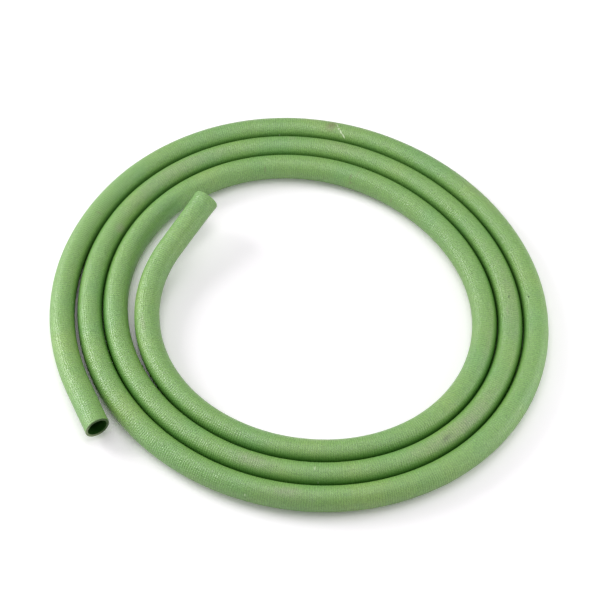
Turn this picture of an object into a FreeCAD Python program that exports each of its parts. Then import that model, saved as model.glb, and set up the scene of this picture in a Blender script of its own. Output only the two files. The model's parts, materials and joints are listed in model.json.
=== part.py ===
"""Flat-coiled length of bare rubber soaker hose, in millimetres, +Z up.

The hose is one tube. It is written as three solids that meet face to face: the wound turns, whose
last bends rise off the floor, and the two straight ends, each up to its cut. It lies in a flat
spiral on the plane z = 0. Seen from above, it runs clockwise from its outer end to its inner end.
The origin is under the middle of its box.
"""
import FreeCAD, Part
import math
import os

# Hose section
HOSE_DIAMETER = 16.0
HOSE_WALL = 1.65
FLOOR_FLAT = 0.5  # depth by which the hose's own weight flattens it on the floor

# Spiral of the turns, seen from above, angles in degrees from +X towards +Y
TURN_GAP = 0.55  # daylight between one turn and the next
SPIRAL_RADIUS = 147.4  # centre line's distance from the middle at angle 0 of the outer turn
OVAL_RISE = 5.15  # the turns are a little oval, longest along OVAL_ANGLE
OVAL_ANGLE = -38.0
LOBE_RISE = 0.7  # and very slightly three-sided
LOBE_ANGLE = -19.0
OUTER_LEAVE = 154.0  # angle where the outer end starts to leave the turn beside it
QUARTER_TURNS = 11  # quarter turns that lie against each other, from there to the inner end

# Free ends: each leans out or in from the spiral, and lifts off the floor, as it bends away
OUTER_SWEEP = 49.0  # degrees over which the outer end bends away, before it runs straight
INNER_SWEEP = 89.5
OUTER_LEAN = 0.7  # lean at the end of the sweep
INNER_LEAN = 10.4
OUTER_LIFT = 2.5  # lift at the end of the sweep
INNER_LIFT = 8.9
LEAN_POWER = 2.5  # lean and lift grow with these powers of the angle
LIFT_POWER = 3
OUTER_SLACK = 1.2  # extra daylight beside the outer end, opening over SLACK_SWEEP degrees
SLACK_SWEEP = 20.0
OUTER_END_LENGTH = 20.0  # straight hose from the end of the turns to the cut
INNER_END_LENGTH = 27.0

# Worked out from the values above
RADIUS = HOSE_DIAMETER / 2
BORE_RADIUS = RADIUS - HOSE_WALL
PITCH = HOSE_DIAMETER + TURN_GAP
AXIS_HEIGHT = RADIUS - FLOOR_FLAT
INNER_LEAVE = OUTER_LEAVE - 90 * QUARTER_TURNS
OUTER_ANGLE = OUTER_LEAVE + OUTER_SWEEP
INNER_ANGLE = INNER_LEAVE - INNER_SWEEP
STRAIGHT = HOSE_DIAMETER  # straight stretch at each end of the turns
SECTION_AREA = math.pi * (RADIUS ** 2 - BORE_RADIUS ** 2)
SAMPLE_STEP = 2.0  # spacing of the points on which the gap is measured

Vector = FreeCAD.Vector


def plain_radius(angle):
    """Distance of the spiral's centre line from the middle."""
    oval = OVAL_RISE * math.cos(2 * math.radians(angle - OVAL_ANGLE))
    lobe = LOBE_RISE * math.cos(3 * math.radians(angle - LOBE_ANGLE))
    return SPIRAL_RADIUS + PITCH * angle / 360 + oval + lobe


def turn_point(angle):
    """Point of the turns' centre line, the bent parts of both ends included."""
    opened = min(1.0, max(0.0, angle - OUTER_LEAVE) / SLACK_SWEEP)
    slack = OUTER_SLACK * opened ** 2 * (3 - 2 * opened)
    outer = max(0.0, angle - OUTER_LEAVE) / OUTER_SWEEP
    inner = max(0.0, INNER_LEAVE - angle) / INNER_SWEEP
    lean = OUTER_LEAN * outer ** LEAN_POWER - INNER_LEAN * inner ** LEAN_POWER
    lift = OUTER_LIFT * outer ** LIFT_POWER + INNER_LIFT * inner ** LIFT_POWER
    radius = plain_radius(angle) + slack + lean
    turn = math.radians(angle)
    return Vector(radius * math.cos(turn), radius * math.sin(turn), AXIS_HEIGHT + lift)


def turn_direction(angle):
    """Unit direction of the turns at an angle, walking from the outer end to the inner one."""
    step = 0.01
    return (turn_point(angle - step) - turn_point(angle + step)).normalize()


def arc_middle(start, direction, end):
    """Middle point of the arc that leaves a point in a direction and reaches another point."""
    chord = end - start
    normal = direction.cross(chord).cross(direction).normalize()
    radius = chord.dot(chord) / (2 * chord.dot(normal))
    centre = start + normal * radius
    return centre + ((start + end) * 0.5 - centre).normalize() * radius


def biarc(start, start_direction, end, end_direction):
    """Two arcs that join two points smoothly, leaving and arriving in given directions."""
    chord = end - start
    both = start_direction + end_direction
    spread = 1 - start_direction.dot(end_direction)
    along = chord.dot(both)
    reach = (math.sqrt(along ** 2 + 2 * spread * chord.dot(chord)) - along) / (2 * spread)
    joint = (start + end + (start_direction - end_direction) * reach) * 0.5
    first = Part.Arc(start, arc_middle(start, start_direction, joint), joint)
    second = Part.Arc(joint, arc_middle(end, end_direction * -1, joint), end)
    return [first, second]


def wire_of(curves):
    """One wire through curves that are already in order."""
    return Part.Wire([curve.toShape() for curve in curves])


def turns_path():
    """Path of the wound turns: a straight, the biarcs of the spiral, and a straight."""
    quarters = [OUTER_LEAVE - 90 * index for index in range(QUARTER_TURNS + 1)]
    angles = [OUTER_ANGLE, OUTER_LEAVE + SLACK_SWEEP] + quarters + [INNER_ANGLE]
    outer = turn_point(OUTER_ANGLE)
    inner = turn_point(INNER_ANGLE)
    curves = [Part.LineSegment(outer - turn_direction(OUTER_ANGLE) * STRAIGHT, outer)]
    for here, there in zip(angles, angles[1:]):
        curves += biarc(turn_point(here), turn_direction(here), turn_point(there), turn_direction(there))
    curves.append(Part.LineSegment(inner, inner + turn_direction(INNER_ANGLE) * STRAIGHT))
    return wire_of(curves)


def end_path(angle, outward, length):
    """Straight path of a free end, from the turns' face to the cut."""
    face = turn_point(angle) + outward * STRAIGHT
    return wire_of([Part.LineSegment(face, face + outward * length)])


def tube(path):
    """Hollow hose along a path, cut flat where it would reach below the floor."""
    first = path.Edges[0]
    start = first.valueAt(first.FirstParameter)
    along = first.tangentAt(first.FirstParameter)
    sides = []
    for radius in (RADIUS, BORE_RADIUS):
        ring = Part.Wire([Part.makeCircle(radius, start, along)])
        sides.append(path.makePipeShell([ring], True, False))
    box = sides[0].BoundBox
    margin = HOSE_DIAMETER
    floor = Part.makeBox(
        box.XLength + 2 * margin,
        box.YLength + 2 * margin,
        margin,
        Vector(box.XMin - margin, box.YMin - margin, -margin),
    )
    return sides[0].cut(sides[1]).cut(floor)


def sample(path):
    """Points along a path, evenly spaced."""
    points = []
    for edge in path.Edges:
        points += edge.discretize(Number=max(2, round(edge.Length / SAMPLE_STEP)))[:-1]
    return points


def least_gap(points, apart):
    """Least clear distance between stretches of hose that are some points apart on its line."""
    least = math.inf
    for index, point in enumerate(points):
        for other in points[index + apart:]:
            least = min(least, point.distanceToPoint(other))
    return least - HOSE_DIAMETER


paths = {
    "hose_coil": turns_path(),
    "hose_outer_end": end_path(OUTER_ANGLE, turn_direction(OUTER_ANGLE) * -1, OUTER_END_LENGTH),
    "hose_inner_end": end_path(INNER_ANGLE, turn_direction(INNER_ANGLE), INNER_END_LENGTH),
}

# The box's middle comes over the origin
route = sample(paths["hose_coil"])
middle_x = (min(p.x for p in route) + max(p.x for p in route)) / 2
middle_y = (min(p.y for p in route) + max(p.y for p in route)) / 2

os.makedirs("parts", exist_ok=True)
for name, path in paths.items():
    path.translate(Vector(-middle_x, -middle_y, 0))
    solid = tube(path)
    solid.exportStep("parts/" + name + ".step")
    last = path.Edges[-1]
    print(name, "length %.1f" % path.Length, "valid", solid.isValid())
    print("  volume %.0f, section times length %.0f" % (solid.Volume, SECTION_AREA * path.Length))
    print("  last point", [round(v, 3) for v in last.valueAt(last.LastParameter)],
          "direction", [round(v, 5) for v in last.tangentAt(last.LastParameter)])

half_turn = round(math.pi * plain_radius(INNER_LEAVE) / SAMPLE_STEP)
print("whole length %.1f" % sum(path.Length for path in paths.values()))
print("bend radii", [round(edge.Curve.Radius) for edge in paths["hose_coil"].Edges[1:-1]])
whole = sample(paths["hose_outer_end"])[::-1]
whole += sample(paths["hose_coil"]) + sample(paths["hose_inner_end"])
print("least gap between turns %.3f" % least_gap(whole, half_turn))
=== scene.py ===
"""Bare green soaker hose, wound flat on a white floor, in metres, +Z up.

The hose is one open tube that follows a spiral from its outer cut to its inner cut. It is run
once as a script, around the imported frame, whose three solids it replaces.
"""
import json
import math
from typing import NamedTuple

import bpy
import numpy as np
from bpy.props import FloatProperty, FloatVectorProperty, IntProperty, PointerProperty
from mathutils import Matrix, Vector


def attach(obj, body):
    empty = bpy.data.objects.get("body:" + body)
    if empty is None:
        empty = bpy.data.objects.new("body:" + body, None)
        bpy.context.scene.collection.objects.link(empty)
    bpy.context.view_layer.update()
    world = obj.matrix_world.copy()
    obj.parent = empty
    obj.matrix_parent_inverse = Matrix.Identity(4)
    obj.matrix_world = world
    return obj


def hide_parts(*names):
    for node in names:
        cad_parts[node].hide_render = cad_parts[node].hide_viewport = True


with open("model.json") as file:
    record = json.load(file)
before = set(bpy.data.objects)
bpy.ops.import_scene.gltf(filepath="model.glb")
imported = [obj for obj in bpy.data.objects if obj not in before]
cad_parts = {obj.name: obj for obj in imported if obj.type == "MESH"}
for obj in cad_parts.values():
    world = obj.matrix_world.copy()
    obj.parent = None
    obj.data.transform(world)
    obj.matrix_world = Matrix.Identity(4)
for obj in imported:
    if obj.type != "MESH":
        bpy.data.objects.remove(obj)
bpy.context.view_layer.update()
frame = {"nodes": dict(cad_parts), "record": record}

bl_info = {
    "name": "Soaker hose",
    "version": (1, 0, 0),
    "blender": (4, 5, 0),
    "location": "3D View > Sidebar > Soaker hose",
    "description": "A bare green soaker hose wound flat on a white floor",
    "category": "Add Mesh",
}

HOSE = "soaker_hose"
LINE = "soaker_hose_line"
LENGTH_MAP = "HoseLength"  # along the hose and round it from its top line, in metres
NEIGHBOUR = "Neighbour"  # clear distance from the skin to the turn beside it, in metres
BAKE_MAP = "OFBake"  # the hose cut into strips that fill a square, for baked textures
LINE_STEPS = 24  # points read from the line for each of its control points
SKIN, CUT, BORE = range(3)  # material slots

# Distances in metres
SKIN_STEP = 0.0032  # spacing of the rings of points along the skin
BORE_STEP = 0.0060  # and along the bore
CUT_REACH = 0.0006  # how fast a cut's unevenness fades along the hose
BOUNCE_GREEN_REACH = 0.006  # clear distance to the next turn within which the green deepens, as painted bounce light
GAP_SHADE_REACH = 0.0038  # and within which it turns to the painted shade of the gap, on the side of the middle
GAP_SHADE_EXTRA = 0.0018  # how much more of that painted shade there is on the outward side
WHITE_FROM = 0.25  # distance from the middle where the floor starts to turn plain white
WHITE_BY = 0.7  # and by which it is plain white


class Mark(NamedTuple):
    """A stain or scuff on the skin. Its place is along the hose from the outer cut and round it
    from the top line, outwards positive. It reaches half_length one way and half_width across,
    turned from the hose's line towards the outside, and fades over the outer share soft."""
    along: float
    around: float
    half_length: float
    half_width: float
    turn: float
    strength: float
    soft: float = 1.0


# Grey places that look dusty
DUST = (
    Mark(1.150, -0.001, 0.075, 0.010, 0, 0.30),
    Mark(1.275, 0.001, 0.030, 0.009, 0, 0.22),
    Mark(1.092, -0.006, 0.006, 0.007, 20, 0.60),
    Mark(1.450, 0.001, 0.060, 0.010, 0, 0.25),
    Mark(1.458, -0.002, 0.009, 0.002, 0, 0.45),
    Mark(1.555, 0.002, 0.060, 0.009, 0, 0.50),
    Mark(1.573, 0.002, 0.018, 0.007, 0, 0.45),
    Mark(1.692, 0.001, 0.022, 0.009, 0, 0.45),
    Mark(0.821, 0.0015, 0.016, 0.006, 6, 0.50),
    Mark(0.820, 0.003, 0.032, 0.009, 0, 0.25),
    Mark(0.480, 0.003, 0.050, 0.007, 0, 0.15),
    Mark(1.238, 0.003, 0.005, 0.004, 0, 0.25),
    Mark(2.552, 0.003, 0.014, 0.003, 0, 0.35),
    Mark(2.250, 0.004, 0.045, 0.005, 0, 0.20),
)
# Brown smudges
SMUDGES = (
    Mark(0.3645, 0.0005, 0.0070, 0.0055, 60, 0.60),
    Mark(0.1765, -0.0030, 0.0045, 0.0009, 88, 0.45),
    Mark(2.0170, -0.0066, 0.0040, 0.0008, 90, 0.50),
    Mark(2.0790, -0.0050, 0.0035, 0.0012, 90, 0.50),
    Mark(2.0830, -0.0030, 0.0090, 0.0006, 86, 0.35),
    Mark(2.0800, -0.0090, 0.0022, 0.0018, 0, 0.45),
    Mark(2.1130, -0.0088, 0.0025, 0.0012, 90, 0.35),
)
# Dark specks and patches
SPECKS = (
    Mark(0.5710, -0.0036, 0.0007, 0.0009, 90, 1.00, 0.5),
    Mark(1.4473, 0.0000, 0.0016, 0.0007, 0, 0.60, 0.7),
    Mark(1.5675, 0.0017, 0.0060, 0.0025, 8, 0.40),
)
# Pale scuffs and nicks
SCUFFS = (
    Mark(0.3745, -0.0057, 0.0024, 0.0006, -50, 0.90, 0.5),
    Mark(0.3720, -0.0033, 0.0022, 0.0008, -54, 0.75, 0.6),
    Mark(0.3700, -0.0013, 0.0008, 0.0007, 0, 0.85, 0.4),
    Mark(0.3684, 0.0013, 0.0030, 0.0004, -62, 0.60, 0.7),
    Mark(0.3283, -0.0093, 0.0009, 0.0004, 90, 0.90, 0.6),
    Mark(0.8450, 0.0085, 0.0010, 0.0005, 90, 0.75, 0.7),
    Mark(0.9775, -0.0065, 0.0012, 0.0004, 90, 0.75, 0.7),
    Mark(0.1010, -0.0085, 0.0008, 0.0005, 60, 0.60, 0.7),
    Mark(0.8640, -0.0070, 0.0020, 0.0003, 80, 0.35, 0.7),
    Mark(1.6532, -0.0005, 0.0022, 0.0004, 84, 0.70, 0.7),
    Mark(1.6510, 0.0088, 0.0012, 0.0005, 90, 0.50, 0.7),
    Mark(1.7620, -0.0070, 0.0020, 0.0003, 76, 0.50, 0.7),
    Mark(1.7780, -0.0062, 0.0026, 0.0003, 76, 0.55, 0.7),
)


def length(name, text, default):
    """A length of the hose or the stage that a user may change."""
    return FloatProperty(name=name, description=text, default=default, unit="LENGTH", precision=5)


def angle(name, text, degrees):
    """An angle that a user may change, written here in degrees."""
    return FloatProperty(name=name, description=text, default=math.radians(degrees), subtype="ANGLE")


def plain_number(name, text, default):
    """A number without a unit that a user may change."""
    return FloatProperty(name=name, description=text, default=default)


def whole_number(name, text, default):
    """A count that a user may change."""
    return IntProperty(name=name, description=text, default=default)


def colour(name, text, default):
    """A linear colour that a user may change."""
    return FloatVectorProperty(name=name, description=text, default=default, subtype="COLOR", min=0, max=1)


class HoseSizes(bpy.types.PropertyGroup):
    """Sizes of the hose and of the spiral that it is wound in."""
    diameter: length("Diameter", "Outside diameter of the hose", 0.016)
    wall: length("Wall", "Thickness of the hose's wall", 0.00165)
    floor_flat: length("Flattening", "How far the hose's weight flattens it on the floor", 0.0005)
    bulge: length("Bulge", "How far its weight spreads each side of it", 0.00015)
    hose_length: length("Length", "Length of the hose from cut to cut", 2.656)
    turn_gap: length("Gap", "Daylight between one turn and the next", 0.00055)
    spiral_radius: length("Spiral radius", "Centre line's distance from the middle at angle 0", 0.1474)
    oval_rise: length("Oval rise", "How much the turns are drawn out into an oval", 0.00515)
    oval_angle: angle("Oval angle", "Direction in which the oval is longest", -38)
    lobe_rise: length("Lobe rise", "How much the turns are three-sided", 0.0007)
    lobe_angle: angle("Lobe angle", "Direction of one of the three lobes", -19)
    outer_leave: angle("Outer leave", "Angle where the outer end leaves the turn beside it", 154)
    quarter_turns: whole_number("Quarter turns", "Quarter turns side by side", 11)
    outer_sweep: angle("Outer sweep", "Angle over which the outer end bends away", 49)
    inner_sweep: angle("Inner sweep", "Angle over which the inner end bends away", 89.5)
    outer_slack: length("Outer slack", "Extra daylight beside the outer end", 0.0012)
    slack_sweep: angle("Slack sweep", "Angle over which that daylight opens", 20)
    outer_lean: length("Outer lean", "How far the outer end leans out by the end of its sweep", 0.0007)
    inner_lean: length("Inner lean", "How far the inner end leans in by the end of its sweep", 0.0104)
    outer_lift: length("Outer lift", "How far the outer end rises by the end of its sweep", 0.0025)
    inner_lift: length("Inner lift", "How far the inner end rises by the end of its sweep", 0.0089)
    lean_power: plain_number("Lean power", "Power of the angle that the lean grows with", 2.5)
    lift_power: plain_number("Lift power", "Power of the angle that the lift grows with", 3)
    outer_straight: length("Outer straight", "Straight hose at the outer cut", 0.036)
    inner_straight: length("Inner straight", "Straight hose at the inner cut", 0.043)
    turn_points: whole_number("Points a turn", "Control points of the line a turn", 24)
    lip: length("Lip", "Rounding of the cut edges", 0.0006)
    waver: length("Waver", "How far the skin swells and narrows along the hose", 0.00006)
    cut_waver: length("Cut waver", "How uneven each cut is", 0.00018)
    slant: angle("Slant", "How far the outer cut is off square", 7.0)
    slant_side: angle("Slant side", "Where round the outer cut the hose reaches furthest", 160)
    flare: length("Flare", "How much the radius grows at the inner cut", 0.00045)


class HoseFinish(bpy.types.PropertyGroup):
    """Colours and grain of the hose."""
    green: colour("Green", "Rubber of the skin", (0.212, 0.408, 0.105))
    leaf: colour("Leaf green", "Yellower green that the skin drifts to", (0.245, 0.425, 0.108))
    moss: colour("Moss green", "Cooler green that the skin drifts to", (0.190, 0.398, 0.112))
    worn: colour("Worn green", "Pale tops of the grain", (0.330, 0.500, 0.230))
    # Painted light: the purer green that light passing from turn to turn gives low between the turns
    painted_bounce_green: colour("Shaded green", "Purer green low between the turns", (0.130, 0.400, 0.030))
    # Painted shade: the near black green of the narrow gap between turns
    gap_shade: colour("Nook", "Deep green in the gap between turns", (0.001, 0.085, 0.001))
    dust: colour("Dust", "Grey-brown of the dusty places", (0.330, 0.335, 0.235))
    speck: colour("Speck", "Dark specks and patches", (0.012, 0.030, 0.008))
    smudge: colour("Smudge", "Brown smudges", (0.200, 0.160, 0.090))
    scuff: colour("Scuff", "Pale scuffs and nicks", (0.740, 0.860, 0.580))
    # The cut face's paler and darker sides are painted light and painted shade
    cut: colour("Cut face", "Paler side of a cut face", (0.290, 0.370, 0.200))
    cut_painted_shade: colour("Cut face, dark side", "Darker side of a cut face", (0.080, 0.140, 0.050))
    # Painted shade: the near black green inside the tube
    bore: colour("Bore", "Inside of the hose", (0.006, 0.068, 0.002))
    grain: length("Grain", "Width of one pebble of the skin's grain", 0.0010)
    row_pitch: length("Row pitch", "Spacing of the fine dotted rows across the skin", 0.00145)
    grain_depth: length("Grain depth", "Depth of the grain", 0.00015)


class StageSetup(bpy.types.PropertyGroup):
    """Camera, lamps and floor."""
    target: FloatVectorProperty(
        name="Target",
        description="Point that the camera looks at",
        default=(0.000788, 0.002464, 0.0075),
        unit="LENGTH",
    )
    elevation: angle("Elevation", "Camera's height above the horizon", 54.737)
    distance: length("Distance", "Camera's distance from its target", 1.3492)
    view_width: angle("View width", "Angle that the picture is wide", 16.506)
    floor_radius: length("Floor radius", "Radius of the floor", 12.0)
    floor_white: plain_number("Floor white", "Share of light that the floor returns", 0.80)
    floor_glow: colour("Floor glow", "What the camera sees of the floor on top of that", (0.36, 0.33, 0.365))
    sky: plain_number("Sky", "Strength of the even light from all round", 0.41)


class Lamp(NamedTuple):
    """A square soft lamp that faces the camera's target: degrees from +X towards +Y, degrees
    above the horizon, metres from the target, side in metres, and watts."""
    azimuth: float
    elevation: float
    distance: float
    size: float
    power: float


LAMPS = {
    "key": Lamp(154, 28, 2.0, 0.9, 20.0),
    "top": Lamp(90, 80, 2.0, 1.6, 13.5),
    "left_fill": Lamp(190, 10, 0.55, 0.35, 0.78),
    "right_fill": Lamp(-8, 17, 0.55, 0.35, 0.87),
}


def spiral_point(sizes, turn):
    """Centre line of the wound turns at angles, as an array of points. Its distance from the
    middle grows by one pitch a turn, with an oval and a slight three-sided wave on it. Past the
    angle where an end leaves the turns, it leans away and rises with powers of the angle."""
    pitch = sizes.diameter + sizes.turn_gap
    inner_leave = sizes.outer_leave - math.pi / 2 * sizes.quarter_turns
    outer = np.maximum(0, turn - sizes.outer_leave)
    inner = np.maximum(0, inner_leave - turn)
    opened = np.minimum(1, outer / sizes.slack_sweep)
    radius = sizes.spiral_radius + pitch * turn / (2 * math.pi)
    radius += sizes.oval_rise * np.cos(2 * (turn - sizes.oval_angle))
    radius += sizes.lobe_rise * np.cos(3 * (turn - sizes.lobe_angle))
    radius += sizes.outer_slack * opened ** 2 * (3 - 2 * opened)
    outer_share, inner_share = outer / sizes.outer_sweep, inner / sizes.inner_sweep
    power = sizes.lean_power
    radius += sizes.outer_lean * outer_share ** power - sizes.inner_lean * inner_share ** power
    power = sizes.lift_power
    lift = sizes.outer_lift * outer_share ** power + sizes.inner_lift * inner_share ** power
    height = sizes.diameter / 2 - sizes.floor_flat + lift
    return np.stack([radius * np.cos(turn), radius * np.sin(turn), height], -1)


def route(sizes):
    """Control points of the hose's line, from the outer cut to the inner cut. On the turns, each
    stands out from the spiral by an eighth of the bend between its neighbours, so that a smooth
    quadratic line through their middles runs on the spiral. Both ends run straight on."""
    first = sizes.outer_leave + sizes.outer_sweep
    last = sizes.outer_leave - math.pi / 2 * sizes.quarter_turns - sizes.inner_sweep
    count = math.ceil((first - last) / (2 * math.pi) * sizes.turn_points)
    step = (first - last) / count
    on_line = spiral_point(sizes, first + step / 2 - step * np.arange(count + 2))
    bend = on_line[:-2] - 2 * on_line[1:-1] + on_line[2:]
    turns = on_line[1:-1] - bend / 8
    ends = spiral_point(sizes, np.array([first, last]))
    ahead = ends - turns[[0, -1]]
    reach = np.linalg.norm(ahead, axis=1)[:, None]
    straight = np.array([[sizes.outer_straight], [sizes.inner_straight]])
    corners = ends + ahead
    cuts = ends + ahead / reach * straight
    points = np.concatenate([cuts[:1], corners[:1], turns, corners[1:], cuts[1:]])
    outer_cut = np.array(mount("outer_end_bore")["pos_m"])
    points[:, :2] += outer_cut[:2] - points[0, :2]
    return points


def mount(name):
    """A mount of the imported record, by name."""
    return next(m for m in frame["record"]["mounts"] if m["name"] == name)


def smooth_line(points):
    """The hose's line: one open NURBS spline with the route's points as its control points."""
    data = bpy.data.curves.new(LINE, "CURVE")
    data.dimensions = "3D"
    data.resolution_u = LINE_STEPS
    spline = data.splines.new("NURBS")
    spline.points.add(len(points) - 1)
    spline.points.foreach_set("co", np.column_stack([points, np.ones(len(points))]).ravel())
    spline.order_u = 3
    spline.use_endpoint_u = True
    return bpy.data.objects.new(LINE, data)


def points_on(line):
    """Points along a line, read from its own curve, after which the line is removed."""
    bpy.context.scene.collection.objects.link(line)
    depsgraph = bpy.context.evaluated_depsgraph_get()
    mesh = bpy.data.meshes.new_from_object(line.evaluated_get(depsgraph))
    points = np.empty(len(mesh.vertices) * 3)
    mesh.vertices.foreach_get("co", points)
    bpy.data.meshes.remove(mesh)
    bpy.data.curves.remove(line.data)
    return points.reshape(-1, 3).astype(float)


def lengths_along(points):
    """Distance of each point from the first, walked along them."""
    return np.r_[0, np.cumsum(np.linalg.norm(np.diff(points, axis=0), axis=1))]


def at(stations, walked, values):
    """Values that are known along a line, read at other distances along it."""
    return np.stack([np.interp(stations, walked, column) for column in values.T], -1)


def wall_profile(sizes, total):
    """Half section of the hose's wall, once round: distance along the hose, distance from its
    centre line, and the slot of the face that follows. It runs out along the skin, round the lip
    and down the inner cut, back along the bore, and up the outer cut. Each lip is a quarter
    circle."""
    skin, bore, lip = sizes.diameter / 2, sizes.diameter / 2 - sizes.wall, sizes.lip
    quarter = np.linspace(0, math.pi / 2, 5)
    face = np.linspace(skin - lip, bore + lip, 5)[1:-1]
    out = np.linspace(lip, total - lip, round(total / SKIN_STEP))
    back = np.linspace(total - lip, lip, round(total / BORE_STEP))
    over = total - lip + lip * np.sin(quarter)
    into = total - lip + lip * np.cos(quarter)
    along = [
        out[:-1], over, np.full(3, total), into,
        back[1:-1], total - into[::-1], np.zeros(3), total - over[::-1],
    ]
    outer_lip = skin - lip + lip * np.cos(quarter)
    inner_lip = bore + lip - lip * np.sin(quarter)
    away = [
        np.full(len(out) - 1, skin), outer_lip, face, inner_lip,
        np.full(len(back) - 2, bore), inner_lip[::-1], face[::-1], outer_lip[::-1],
    ]
    slots = [SKIN, SKIN, CUT, CUT, BORE, CUT, CUT, CUT]
    slot = [np.full(len(part), value) for part, value in zip(along, slots)]
    along, away, slot = (np.concatenate(part)[:-1] for part in (along, away, slot))
    return along, away, slot


def outer_slant(sizes, along, around, radius):
    """How far the slanted outer cut moves each point out along the hose: radius x tan(slant) x
    cos(around - slant side) at the cut, fading over three radii."""
    fade = np.clip(1 - along / (1.5 * sizes.diameter), 0, 1) ** 2
    return fade * radius * math.tan(sizes.slant) * np.cos(around - sizes.slant_side)


def slow_wave(along, around):
    """A gentle unevenness between -1 and 1: three long waves, each with its own twist."""
    first = np.sin(along / 0.021 + 2 * around)
    second = np.sin(along / 0.0083 - around + 1.3)
    third = np.sin(along / 0.047 + 3 * around + 0.4)
    return (first + 0.5 * second + 0.7 * third) / 2.2


def hose_mesh(sizes, line_points, columns=48):
    """The open tube as one closed surface: each point of the wall's half section is carried round
    the line. A ring's place is centre + side x cos(around) x (away + bulge) + up x sin(around) x
    away, with around 0 towards the coil's middle and a quarter turn at the top. The radius wavers
    gently and grows towards the inner cut, and points near the cuts are moved along the hose, by
    the outer cut's slant and both cuts' unevenness. Nothing goes below the floor."""
    walked = lengths_along(line_points)
    total = walked[-1]
    tangents = np.gradient(line_points, walked, axis=0)
    along, away, slot = wall_profile(sizes, total)
    centre = at(along, walked, line_points)
    ahead = at(along, walked, tangents)
    ahead /= np.linalg.norm(ahead, axis=1)[:, None]
    side = np.cross(ahead, [0, 0, 1])
    side /= np.linalg.norm(side, axis=1)[:, None]
    up = np.cross(side, ahead)
    around = np.linspace(-math.pi / 2, 3 * math.pi / 2, columns, endpoint=False)
    grid_along, grid_around = np.meshgrid(along, around, indexing="ij")
    radius = away[:, None] + sizes.waver * slow_wave(grid_along, grid_around)
    radius += sizes.flare * np.exp((grid_along - total) / (sizes.diameter / 2))
    sideways, upwards = (radius + sizes.bulge) * np.cos(around), radius * np.sin(around)
    place = centre[:, None] + sideways[..., None] * side[:, None] + upwards[..., None] * up[:, None]
    near_cut = np.exp(-np.minimum(along, total - along) / CUT_REACH)[:, None]
    uneven = near_cut * sizes.cut_waver * (np.sin(grid_around + 0.6) + 0.4 * np.sin(3 * grid_around + 2.0))
    uneven -= outer_slant(sizes, grid_along, grid_around, radius)
    place += uneven[..., None] * ahead[:, None]
    place[..., 2] = np.maximum(place[..., 2], 0)
    rows = len(along)
    number = np.arange(rows * columns).reshape(rows, columns)
    next_row = np.roll(number, -1, 0)
    corners = np.stack([number, np.roll(number, -1, 1), np.roll(next_row, -1, 1), next_row], -1)
    corners = corners.reshape(-1, 4)
    mesh = bpy.data.meshes.new(HOSE)
    mesh.vertices.add(rows * columns)
    mesh.vertices.foreach_set("co", place.ravel())
    mesh.loops.add(corners.size)
    mesh.loops.foreach_set("vertex_index", corners.ravel())
    mesh.polygons.add(len(corners))
    mesh.polygons.foreach_set("loop_start", np.arange(0, corners.size, 4))
    mesh.polygons.foreach_set("material_index", np.repeat(slot, columns).astype(int))
    mesh.polygons.foreach_set("use_smooth", np.ones(len(corners), bool))
    mesh.update(calc_edges=True)
    add_maps(mesh, sizes, along, away, columns)
    clear = clear_distance(place, along, line_points, walked) - sizes.diameter / 2
    mesh.attributes.new(NEIGHBOUR, "FLOAT", "POINT").data.foreach_set("value", clear.ravel())
    mesh.validate()
    return mesh


def clear_distance(place, along, line_points, walked, apart=0.3):
    """Distance from each point to the hose's line where that comes round again."""
    nearest = np.empty(place.shape[:2])
    for row, station in enumerate(along):
        others = line_points[::2][np.abs(walked[::2] - station) > apart]
        nearest[row] = np.linalg.norm(place[row, :, None] - others, axis=-1).min(1)
    return nearest


def add_maps(mesh, sizes, along, away, columns):
    """Two maps of the surface. One holds true distances along and round the hose. The other cuts
    the whole wall, in the order of its half section, into strips that lie one above the other in
    a unit square."""
    rows = len(along)
    row, column = np.meshgrid(np.arange(rows), np.arange(columns), indexing="ij")
    step_row = np.stack([row, row, row + 1, row + 1], -1)
    step_column = np.stack([column, column + 1, column + 1, column], -1)
    profile = np.r_[0, np.cumsum(np.hypot(np.diff(np.r_[along, along[0]]), np.diff(np.r_[away, away[0]])))]
    turn = step_column / columns
    length_map = np.stack([
        np.r_[along, along[0]][step_row],
        (turn - 0.5) * math.pi * sizes.diameter,
    ], -1)
    mesh.uv_layers.new(name=LENGTH_MAP).uv.foreach_set("vector", length_map.astype(np.float32).ravel())
    strips = 10
    share = profile[step_row] / profile[-1] * strips
    strip = np.minimum(np.floor(profile[row] / profile[-1] * strips), strips - 1)[..., None]
    bake_map = np.stack([share - strip, (strip + 0.01 + 0.98 * turn) / strips], -1)
    mesh.uv_layers.new(name=BAKE_MAP).uv.foreach_set("vector", bake_map.astype(np.float32).ravel())


class Wire:
    """An output socket in a sum. Operators on it, with numbers or other wires, add Math nodes."""

    def __init__(self, shader, socket):
        self.shader = shader
        self.socket = socket

    def math(self, operation, *others, clamp=False):
        """A Math node on this wire and others."""
        values = dict(enumerate((self,) + others))
        return self.shader.node("ShaderNodeMath", {"operation": operation, "use_clamp": clamp}, values)

    def __add__(self, other):
        return self.math("ADD", other)

    __radd__ = __add__

    def __sub__(self, other):
        return self.math("SUBTRACT", other)

    def __rsub__(self, other):
        return self.shader.node("ShaderNodeMath", {"operation": "SUBTRACT"}, {0: other, 1: self})

    def __mul__(self, other):
        return self.math("MULTIPLY", other)

    __rmul__ = __mul__

    def __truediv__(self, other):
        return self.math("DIVIDE", other)

    def __pow__(self, other):
        return self.math("POWER", other)

    def clamped(self):
        """This wire between 0 and 1."""
        return self.math("ADD", 0, clamp=True)

    def rise(self, low, high, top=1.0):
        """A smooth step from 0 at low to top at high."""
        settings = {"interpolation_type": "SMOOTHSTEP"}
        values = {"Value": self, "From Min": low, "From Max": high, "To Max": top}
        return self.shader.node("ShaderNodeMapRange", settings, values)


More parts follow.
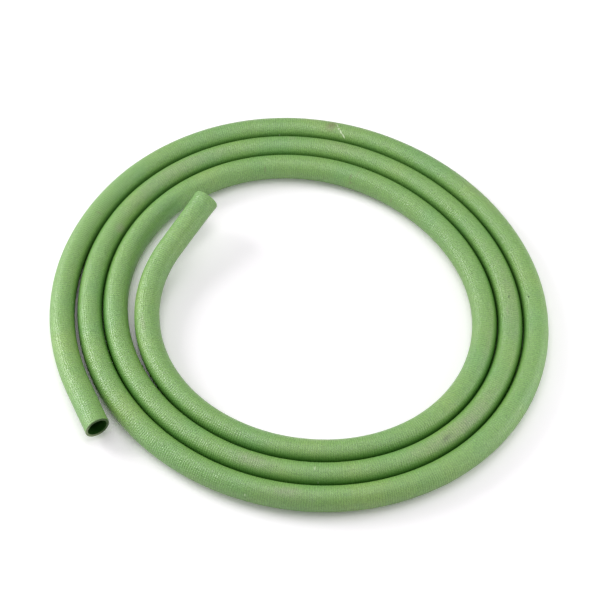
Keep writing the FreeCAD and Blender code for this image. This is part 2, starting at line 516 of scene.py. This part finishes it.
class Shader:
    """The node tree of a new material."""

    def __init__(self, name):
        self.material = bpy.data.materials.new(name)
        self.material.use_nodes = True
        self.tree = self.material.node_tree
        self.tree.nodes.clear()

    def node(self, kind, settings=None, values=None, output=0):
        """Adds a node: first its settings, then the values or wires of its sockets."""
        node = self.tree.nodes.new(kind)
        for name, value in (settings or {}).items():
            setattr(node, name, value)
        for name, value in (values or {}).items():
            if isinstance(value, Wire):
                self.tree.links.new(value.socket, node.inputs[name])
            else:
                node.inputs[name].default_value = value
        return Wire(self, node.outputs[output])

    def parts(self, vector):
        """The three numbers of a vector, as wires."""
        first = self.node("ShaderNodeSeparateXYZ", {}, {0: vector})
        return [Wire(self, output) for output in first.socket.node.outputs]

    def noise(self, where, scale, detail=2.0, roughness=0.5):
        """Noise between about 0 and 1, of that many waves a metre."""
        values = {"Vector": where, "Scale": scale, "Detail": detail, "Roughness": roughness}
        return self.node("ShaderNodeTexNoise", {}, values)

    def mix(self, below, above, share, blend="MIX"):
        """Two colours mixed by a share."""
        settings = {"data_type": "RGBA", "blend_type": blend}
        return self.node("ShaderNodeMix", settings, {0: share, 6: below, 7: above}, output=2)

    def bump(self, height, depth):
        """The normal of a surface with fine heights on it, of about that depth."""
        return self.node("ShaderNodeBump", {}, {"Height": height, "Distance": depth, "Strength": 1.0})

    def finish(self, surface):
        """Sends a surface to the material's output."""
        output = self.tree.nodes.new("ShaderNodeOutputMaterial")
        self.tree.links.new(surface.socket, output.inputs["Surface"])
        return self.material


def rgba(linear):
    """A colour with full alpha."""
    return (*linear, 1.0)


def mark_mask(along, around, edge, mark):
    """How strongly one mark covers a place. In the mark's own axes the distance is
    sqrt((x / half length)^2 + (y / half width)^2), made ragged by noise, and the mask falls from
    the mark's strength to 0 over the outer share soft."""
    cosine, sine = math.cos(math.radians(mark.turn)), math.sin(math.radians(mark.turn))
    x, y = along - mark.along, around - mark.around
    lengthwise = (x * cosine + y * sine) / mark.half_length
    crosswise = (y * cosine - x * sine) / mark.half_width
    distance = (lengthwise * lengthwise + crosswise * crosswise) ** 0.5 + edge
    return (1 - distance.rise(1 - mark.soft, 1)) * mark.strength


def all_marks(along, around, edge, marks):
    """The strongest of several marks at each place."""
    strongest = mark_mask(along, around, edge, marks[0])
    for mark in marks[1:]:
        strongest = strongest.math("MAXIMUM", mark_mask(along, around, edge, mark))
    return strongest


def straightened(shader, along, around, radius):
    """The hose's skin laid out along a straight line: (along, radius x sin, radius x cos) of the
    angle round it. What follows it has no seam and keeps its rows square to the hose."""
    turn = around * (1 / radius)
    values = {0: along, 1: turn.math("SINE") * radius, 2: turn.math("COSINE") * radius}
    return shader.node("ShaderNodeCombineXYZ", {}, values)


def skin_grain(shader, straight, finish):
    """Pebbles of the skin, large and about half as large: how far each place stands on them, about 0 in
    the grooves to 1 on top, and a number from 0 to 1 for each large pebble. The places are bent
    by noise first, so that no pebble has straight sides."""
    bend = shader.node("ShaderNodeTexNoise", {}, {"Vector": straight, "Scale": 0.9 / finish.grain}, output=1)
    bend = shader.node("ShaderNodeVectorMath", {"operation": "SUBTRACT"}, {0: bend, 1: (0.5, 0.5, 0.5)})
    values = {0: bend, 1: (1.1 * finish.grain,) * 3, 2: straight}
    bent = shader.node("ShaderNodeVectorMath", {"operation": "MULTIPLY_ADD"}, values)
    settings = {"feature": "SMOOTH_F1"}
    values = {"Vector": bent, "Scale": 1 / finish.grain, "Smoothness": 0.35}
    large = shader.node("ShaderNodeTexVoronoi", settings, values)
    own = shader.parts(shader.node("ShaderNodeTexVoronoi", settings, values, output=1))[0]
    small = shader.node("ShaderNodeTexVoronoi", settings, {**values, "Scale": 2.1 / finish.grain})
    return 1.1 - large * large * 1.5 - small * 0.5, own


def skin_rows(along, around, middling, finish):
    """Fine rows across the hose, from -1 between them to 1 on them, each broken into dots:
    cos(along) x (0.5 + 0.5 x cos(around)), one wave a pitch, drifting by the middling noise."""
    wave = 2 * math.pi / finish.row_pitch
    rows = (along * wave + middling * 12).math("COSINE")
    return rows * (0.5 + (around * wave + middling * 9).math("COSINE") * 0.5)


def skin_material(sizes, finish):
    """Green rubber with a fine pebbled grain, slow drifts of its green, dust, smudges, scuffs. By the
    clear distance to the turn beside it, the green deepens and the gloss goes low between the
    turns. That isn't in the rubber: it stands in for the light that the narrow gap swallows."""
    shader = Shader("hose_skin")
    along, around, _ = shader.parts(shader.node("ShaderNodeUVMap", {"uv_map": LENGTH_MAP}))
    straight = straightened(shader, along, around, sizes.diameter / 2)
    pebble, own = skin_grain(shader, straight, finish)
    broad = shader.noise(straight, 24, 2.0)
    middling = shader.noise(straight, 150, 3.0)
    fine = shader.noise(straight, 1100, 1.0)
    rows = skin_rows(along, around, middling, finish)
    edge = (shader.noise(straight, 420, 3.0, 0.7) - 0.5) * 0.7
    dust = all_marks(along, around, edge, DUST)
    dust = (dust * (0.55 + middling * 0.5 + pebble * 0.5) + (middling - 0.62) * 0.3).clamped()
    smudge = all_marks(along, around, edge * 0.6, SMUDGES)
    scuff = all_marks(along, around, edge * 0.5, SCUFFS)
    speck = all_marks(along, around, edge * 0.5, SPECKS)
    green = shader.mix(rgba(finish.green), rgba(finish.leaf), broad.rise(0.5, 0.72))
    green = shader.mix(green, rgba(finish.moss), broad.rise(0.5, 0.3))
    green = shader.mix(green, rgba(finish.moss), middling.rise(0.5, 0.75, 0.4))
    green = shader.mix(green, rgba(finish.worn), (pebble * own).rise(0.3, 0.8, 0.2))
    green = shader.mix(green, rgba(finish.dust), dust * (0.8 + own * 0.2))
    deep = 0.94 + pebble * 0.12 + (fine - 0.5) * 0.7 + rows * (0.22 + dust * 0.25)
    deep = shader.node("ShaderNodeCombineColor", {}, {0: deep, 1: deep, 2: deep})
    green = shader.mix(green, deep, 1.0, "MULTIPLY")
    clear = shader.node("ShaderNodeAttribute", {"attribute_name": NEIGHBOUR}, output=2)
    # Painted light: near the next turn the green deepens and turns purer, for light bounced between the
    # turns
    outside = around.rise(-0.002, 0.002)
    near = (1 - clear / BOUNCE_GREEN_REACH).clamped()
    green = shader.mix(green, rgba(finish.painted_bounce_green), near * (0.2 + outside * 0.2))
    green = shader.mix(green, rgba(finish.smudge), smudge)
    green = shader.mix(green, rgba(finish.speck), speck)
    green = shader.mix(green, rgba(finish.scuff), scuff)
    # Painted shade in the gap between turns, by the clear distance to the next turn
    gap_shade = (1 - clear / (GAP_SHADE_REACH + outside * GAP_SHADE_EXTRA)).clamped() ** 1.2
    green = shader.mix(green, rgba(finish.gap_shade), gap_shade * 0.88)
    roughness = 0.34 + (middling - 0.5) * 0.10 + dust * 0.20 - pebble * 0.06 + gap_shade * 0.5
    height = pebble * 0.6 + own * 0.2 + (fine - 0.5) * 0.5 + rows * 0.8 - scuff * 0.8
    bump = shader.bump(height, finish.grain_depth)
    values = {"Base Color": green, "Roughness": roughness, "Normal": bump, "Specular IOR Level": 0.9}
    glossy = shader.node("ShaderNodeBsdfPrincipled", {}, values)
    dull = shader.node("ShaderNodeBsdfPrincipled", {}, {**values, "Specular IOR Level": 0.0})
    share = (near * 1.3).clamped()
    return shader.finish(shader.node("ShaderNodeMixShader", {}, {0: share, 1: glossy, 2: dull}))


def cut_material(sizes, finish):
    """Cut rubber: dull, with fine specks and coarser unevenness. It is paler at the side that is outwards
    and down and darker at the other side, which is painted light and painted shade."""
    shader = Shader("hose_cut")
    place = shader.node("ShaderNodeTexCoord", output=3)
    along, around, _ = shader.parts(shader.node("ShaderNodeUVMap", {"uv_map": LENGTH_MAP}))
    _, outwards, up = shader.parts(straightened(shader, along, around, sizes.diameter / 2))
    specks = shader.noise(place, 2600, 2.0, 0.6)
    coarse = shader.noise(place, 500, 3.0)
    # Painted light on the side that is outwards and down, painted shade on the other side
    painted_light_side = ((outwards * 0.85 - up * 0.5) * (2 / sizes.diameter) + (coarse - 0.5) * 0.6).rise(-0.1, 0.9)
    green = shader.mix(rgba(finish.cut_painted_shade), rgba(finish.cut), painted_light_side)
    green = shader.mix(green, rgba(finish.bore), specks.rise(0.58, 0.8, 0.6))
    bump = shader.bump(specks + coarse, 0.00012)
    roughness = 0.72 + coarse * 0.1
    values = {"Base Color": green, "Roughness": roughness, "Normal": bump, "Specular IOR Level": 0.4}
    return shader.finish(shader.node("ShaderNodeBsdfPrincipled", {}, values))


def bore_material(finish):
    """Inside of the hose: darker green, with faint lines along it. The darker green is painted shade inside
    the tube.
    """
    shader = Shader("hose_bore")
    place = shader.node("ShaderNodeTexCoord", output=3)
    on_hose = shader.node("ShaderNodeUVMap", {"uv_map": LENGTH_MAP})
    stretched = shader.node("ShaderNodeVectorMath", {"operation": "MULTIPLY"}, {0: on_hose, 1: (25, 900, 1)})
    lines = shader.noise(stretched, 1.0, 2.0)
    cloud = shader.noise(place, 300, 2.0)
    green = shader.mix(rgba(finish.bore), rgba(finish.green), (cloud * 0.12).clamped())
    bump = shader.bump(lines + cloud * 0.5, 0.00006)
    roughness = 0.65 + cloud * 0.15
    values = {"Base Color": green, "Roughness": roughness, "Normal": bump, "Specular IOR Level": 0.15}
    return shader.finish(shader.node("ShaderNodeBsdfPrincipled", {}, values))


def floor_material(setup):
    """White floor. What the camera sees of it is brighter than what it gives the hose, so that it
    comes out white where no shadow falls, and plain white far from the hose."""
    shader = Shader("floor_white")
    seen = shader.node("ShaderNodeLightPath")
    place = shader.node("ShaderNodeTexCoord", output=3)
    distance = shader.node("ShaderNodeVectorMath", {"operation": "LENGTH"}, {0: place}, output=1)
    far = distance.rise(WHITE_FROM, WHITE_BY)
    white = shader.node("ShaderNodeEmission", {}, {"Color": rgba((1.0, 1.0, 1.0)), "Strength": 1.0})
    plain = shader.node("ShaderNodeBsdfDiffuse", {}, {"Color": rgba((setup.floor_white,) * 3)})
    extra = shader.node("ShaderNodeBsdfDiffuse", {}, {"Color": rgba(setup.floor_glow)})
    near = shader.node("ShaderNodeAddShader", {}, {0: plain, 1: extra})
    shown = shader.node("ShaderNodeMixShader", {}, {0: far, 1: near, 2: white})
    return shader.finish(shader.node("ShaderNodeMixShader", {}, {0: seen, 1: plain, 2: shown}))


def from_target(setup, azimuth, elevation, distance):
    """Point at a distance from the camera's target, in a direction."""
    flat = distance * math.cos(elevation)
    offset = Vector((flat * math.cos(azimuth), flat * math.sin(azimuth), distance * math.sin(elevation)))
    return Vector(setup.target) + offset


def place_facing(thing, place, target):
    """Puts a lamp or the camera at a place, looking at a point."""
    thing.location = place
    thing.rotation_euler = (Vector(target) - place).to_track_quat("-Z", "Y").to_euler()
    bpy.context.scene.collection.objects.link(thing)
    return thing


class SOAKER_OT_stage(bpy.types.Operator):
    """Adds the camera, the lamps, the even light and the floor"""
    bl_idname = "soaker_hose.stage"
    bl_label = "Add stage"

    def execute(self, context):
        setup = context.scene.hose_stage
        self.add_camera(context, setup)
        self.add_lamps(setup)
        self.add_sky(context, setup)
        self.add_floor(setup)
        return {"FINISHED"}

    def add_camera(self, context, setup):
        data = bpy.data.cameras.new("camera")
        data.sensor_width = 36.0
        data.lens = data.sensor_width / 2 / math.tan(setup.view_width / 2)
        data.clip_end = 100
        place = from_target(setup, -math.pi / 2, setup.elevation, setup.distance)
        context.scene.camera = place_facing(bpy.data.objects.new("camera", data), place, setup.target)

    def add_lamps(self, setup):
        for name, lamp in LAMPS.items():
            data = bpy.data.lights.new(name, "AREA")
            data.size = lamp.size
            data.energy = lamp.power
            azimuth, elevation = math.radians(lamp.azimuth), math.radians(lamp.elevation)
            place = from_target(setup, azimuth, elevation, lamp.distance)
            light = place_facing(bpy.data.objects.new(name, data), place, setup.target)
            light.visible_camera = False

    def add_sky(self, context, setup):
        world = bpy.data.worlds.new("sky")
        world.use_nodes = True
        nodes, links = world.node_tree.nodes, world.node_tree.links
        nodes.clear()
        ways = nodes.new("ShaderNodeLightPath")
        light, white = nodes.new("ShaderNodeBackground"), nodes.new("ShaderNodeBackground")
        light.inputs["Strength"].default_value = setup.sky
        light.inputs["Color"].default_value = rgba((1.0, 1.0, 1.0))
        white.inputs["Color"].default_value = rgba((1.0, 1.0, 1.0))
        both, out = nodes.new("ShaderNodeMixShader"), nodes.new("ShaderNodeOutputWorld")
        links.new(ways.outputs["Is Camera Ray"], both.inputs[0])
        links.new(light.outputs[0], both.inputs[1])
        links.new(white.outputs[0], both.inputs[2])
        links.new(both.outputs[0], out.inputs["Surface"])
        context.scene.world = world

    def add_floor(self, setup):
        around = np.linspace(0, 2 * math.pi, 96, endpoint=False)
        rim = setup.floor_radius * np.stack([np.cos(around), np.sin(around), 0 * around], -1)
        mesh = bpy.data.meshes.new("floor")
        mesh.from_pydata(rim.tolist(), [], [list(range(len(rim)))])
        mesh.materials.append(floor_material(setup))
        floor = bpy.data.objects.new("floor", mesh)
        bpy.context.scene.collection.objects.link(floor)


class SOAKER_OT_hose(bpy.types.Operator):
    """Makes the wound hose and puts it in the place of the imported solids"""
    bl_idname = "soaker_hose.hose"
    bl_label = "Make hose"

    def execute(self, context):
        sizes, finish = context.scene.hose_sizes, context.scene.hose_finish
        line_points = points_on(smooth_line(route(sizes)))
        hose = bpy.data.objects.new(HOSE, hose_mesh(sizes, line_points))
        for material in (skin_material(sizes, finish), cut_material(sizes, finish), bore_material(finish)):
            hose.data.materials.append(material)
        context.scene.collection.objects.link(hose)
        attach(hose, "root")
        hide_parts(*frame["nodes"])
        return {"FINISHED"}


class SOAKER_PT_panel(bpy.types.Panel):
    """Lists the sizes, the finish and the steps"""
    bl_label = "Soaker hose"
    bl_idname = "SOAKER_PT_panel"
    bl_space_type = "VIEW_3D"
    bl_region_type = "UI"
    bl_category = "Soaker hose"

    def draw(self, context):
        layout = self.layout
        for step in (SOAKER_OT_stage, SOAKER_OT_hose):
            layout.operator(step.bl_idname)
        for group in (context.scene.hose_sizes, context.scene.hose_finish, context.scene.hose_stage):
            for name in group.__annotations__:
                layout.prop(group, name)


CLASSES = (HoseSizes, HoseFinish, StageSetup, SOAKER_OT_stage, SOAKER_OT_hose, SOAKER_PT_panel)


def register():
    """Registers the classes and hangs the settings on the scene."""
    for cls in CLASSES:
        bpy.utils.register_class(cls)
    bpy.types.Scene.hose_sizes = PointerProperty(type=HoseSizes)
    bpy.types.Scene.hose_finish = PointerProperty(type=HoseFinish)
    bpy.types.Scene.hose_stage = PointerProperty(type=StageSetup)


def unregister():
    """Takes the settings and the classes away again."""
    del bpy.types.Scene.hose_sizes, bpy.types.Scene.hose_finish, bpy.types.Scene.hose_stage
    for cls in reversed(CLASSES):
        bpy.utils.unregister_class(cls)


def main():
    register()
    bpy.context.scene.view_settings.view_transform = "Standard"
    bpy.ops.soaker_hose.stage()
    bpy.ops.soaker_hose.hose()


if __name__ == "__main__":
    main()
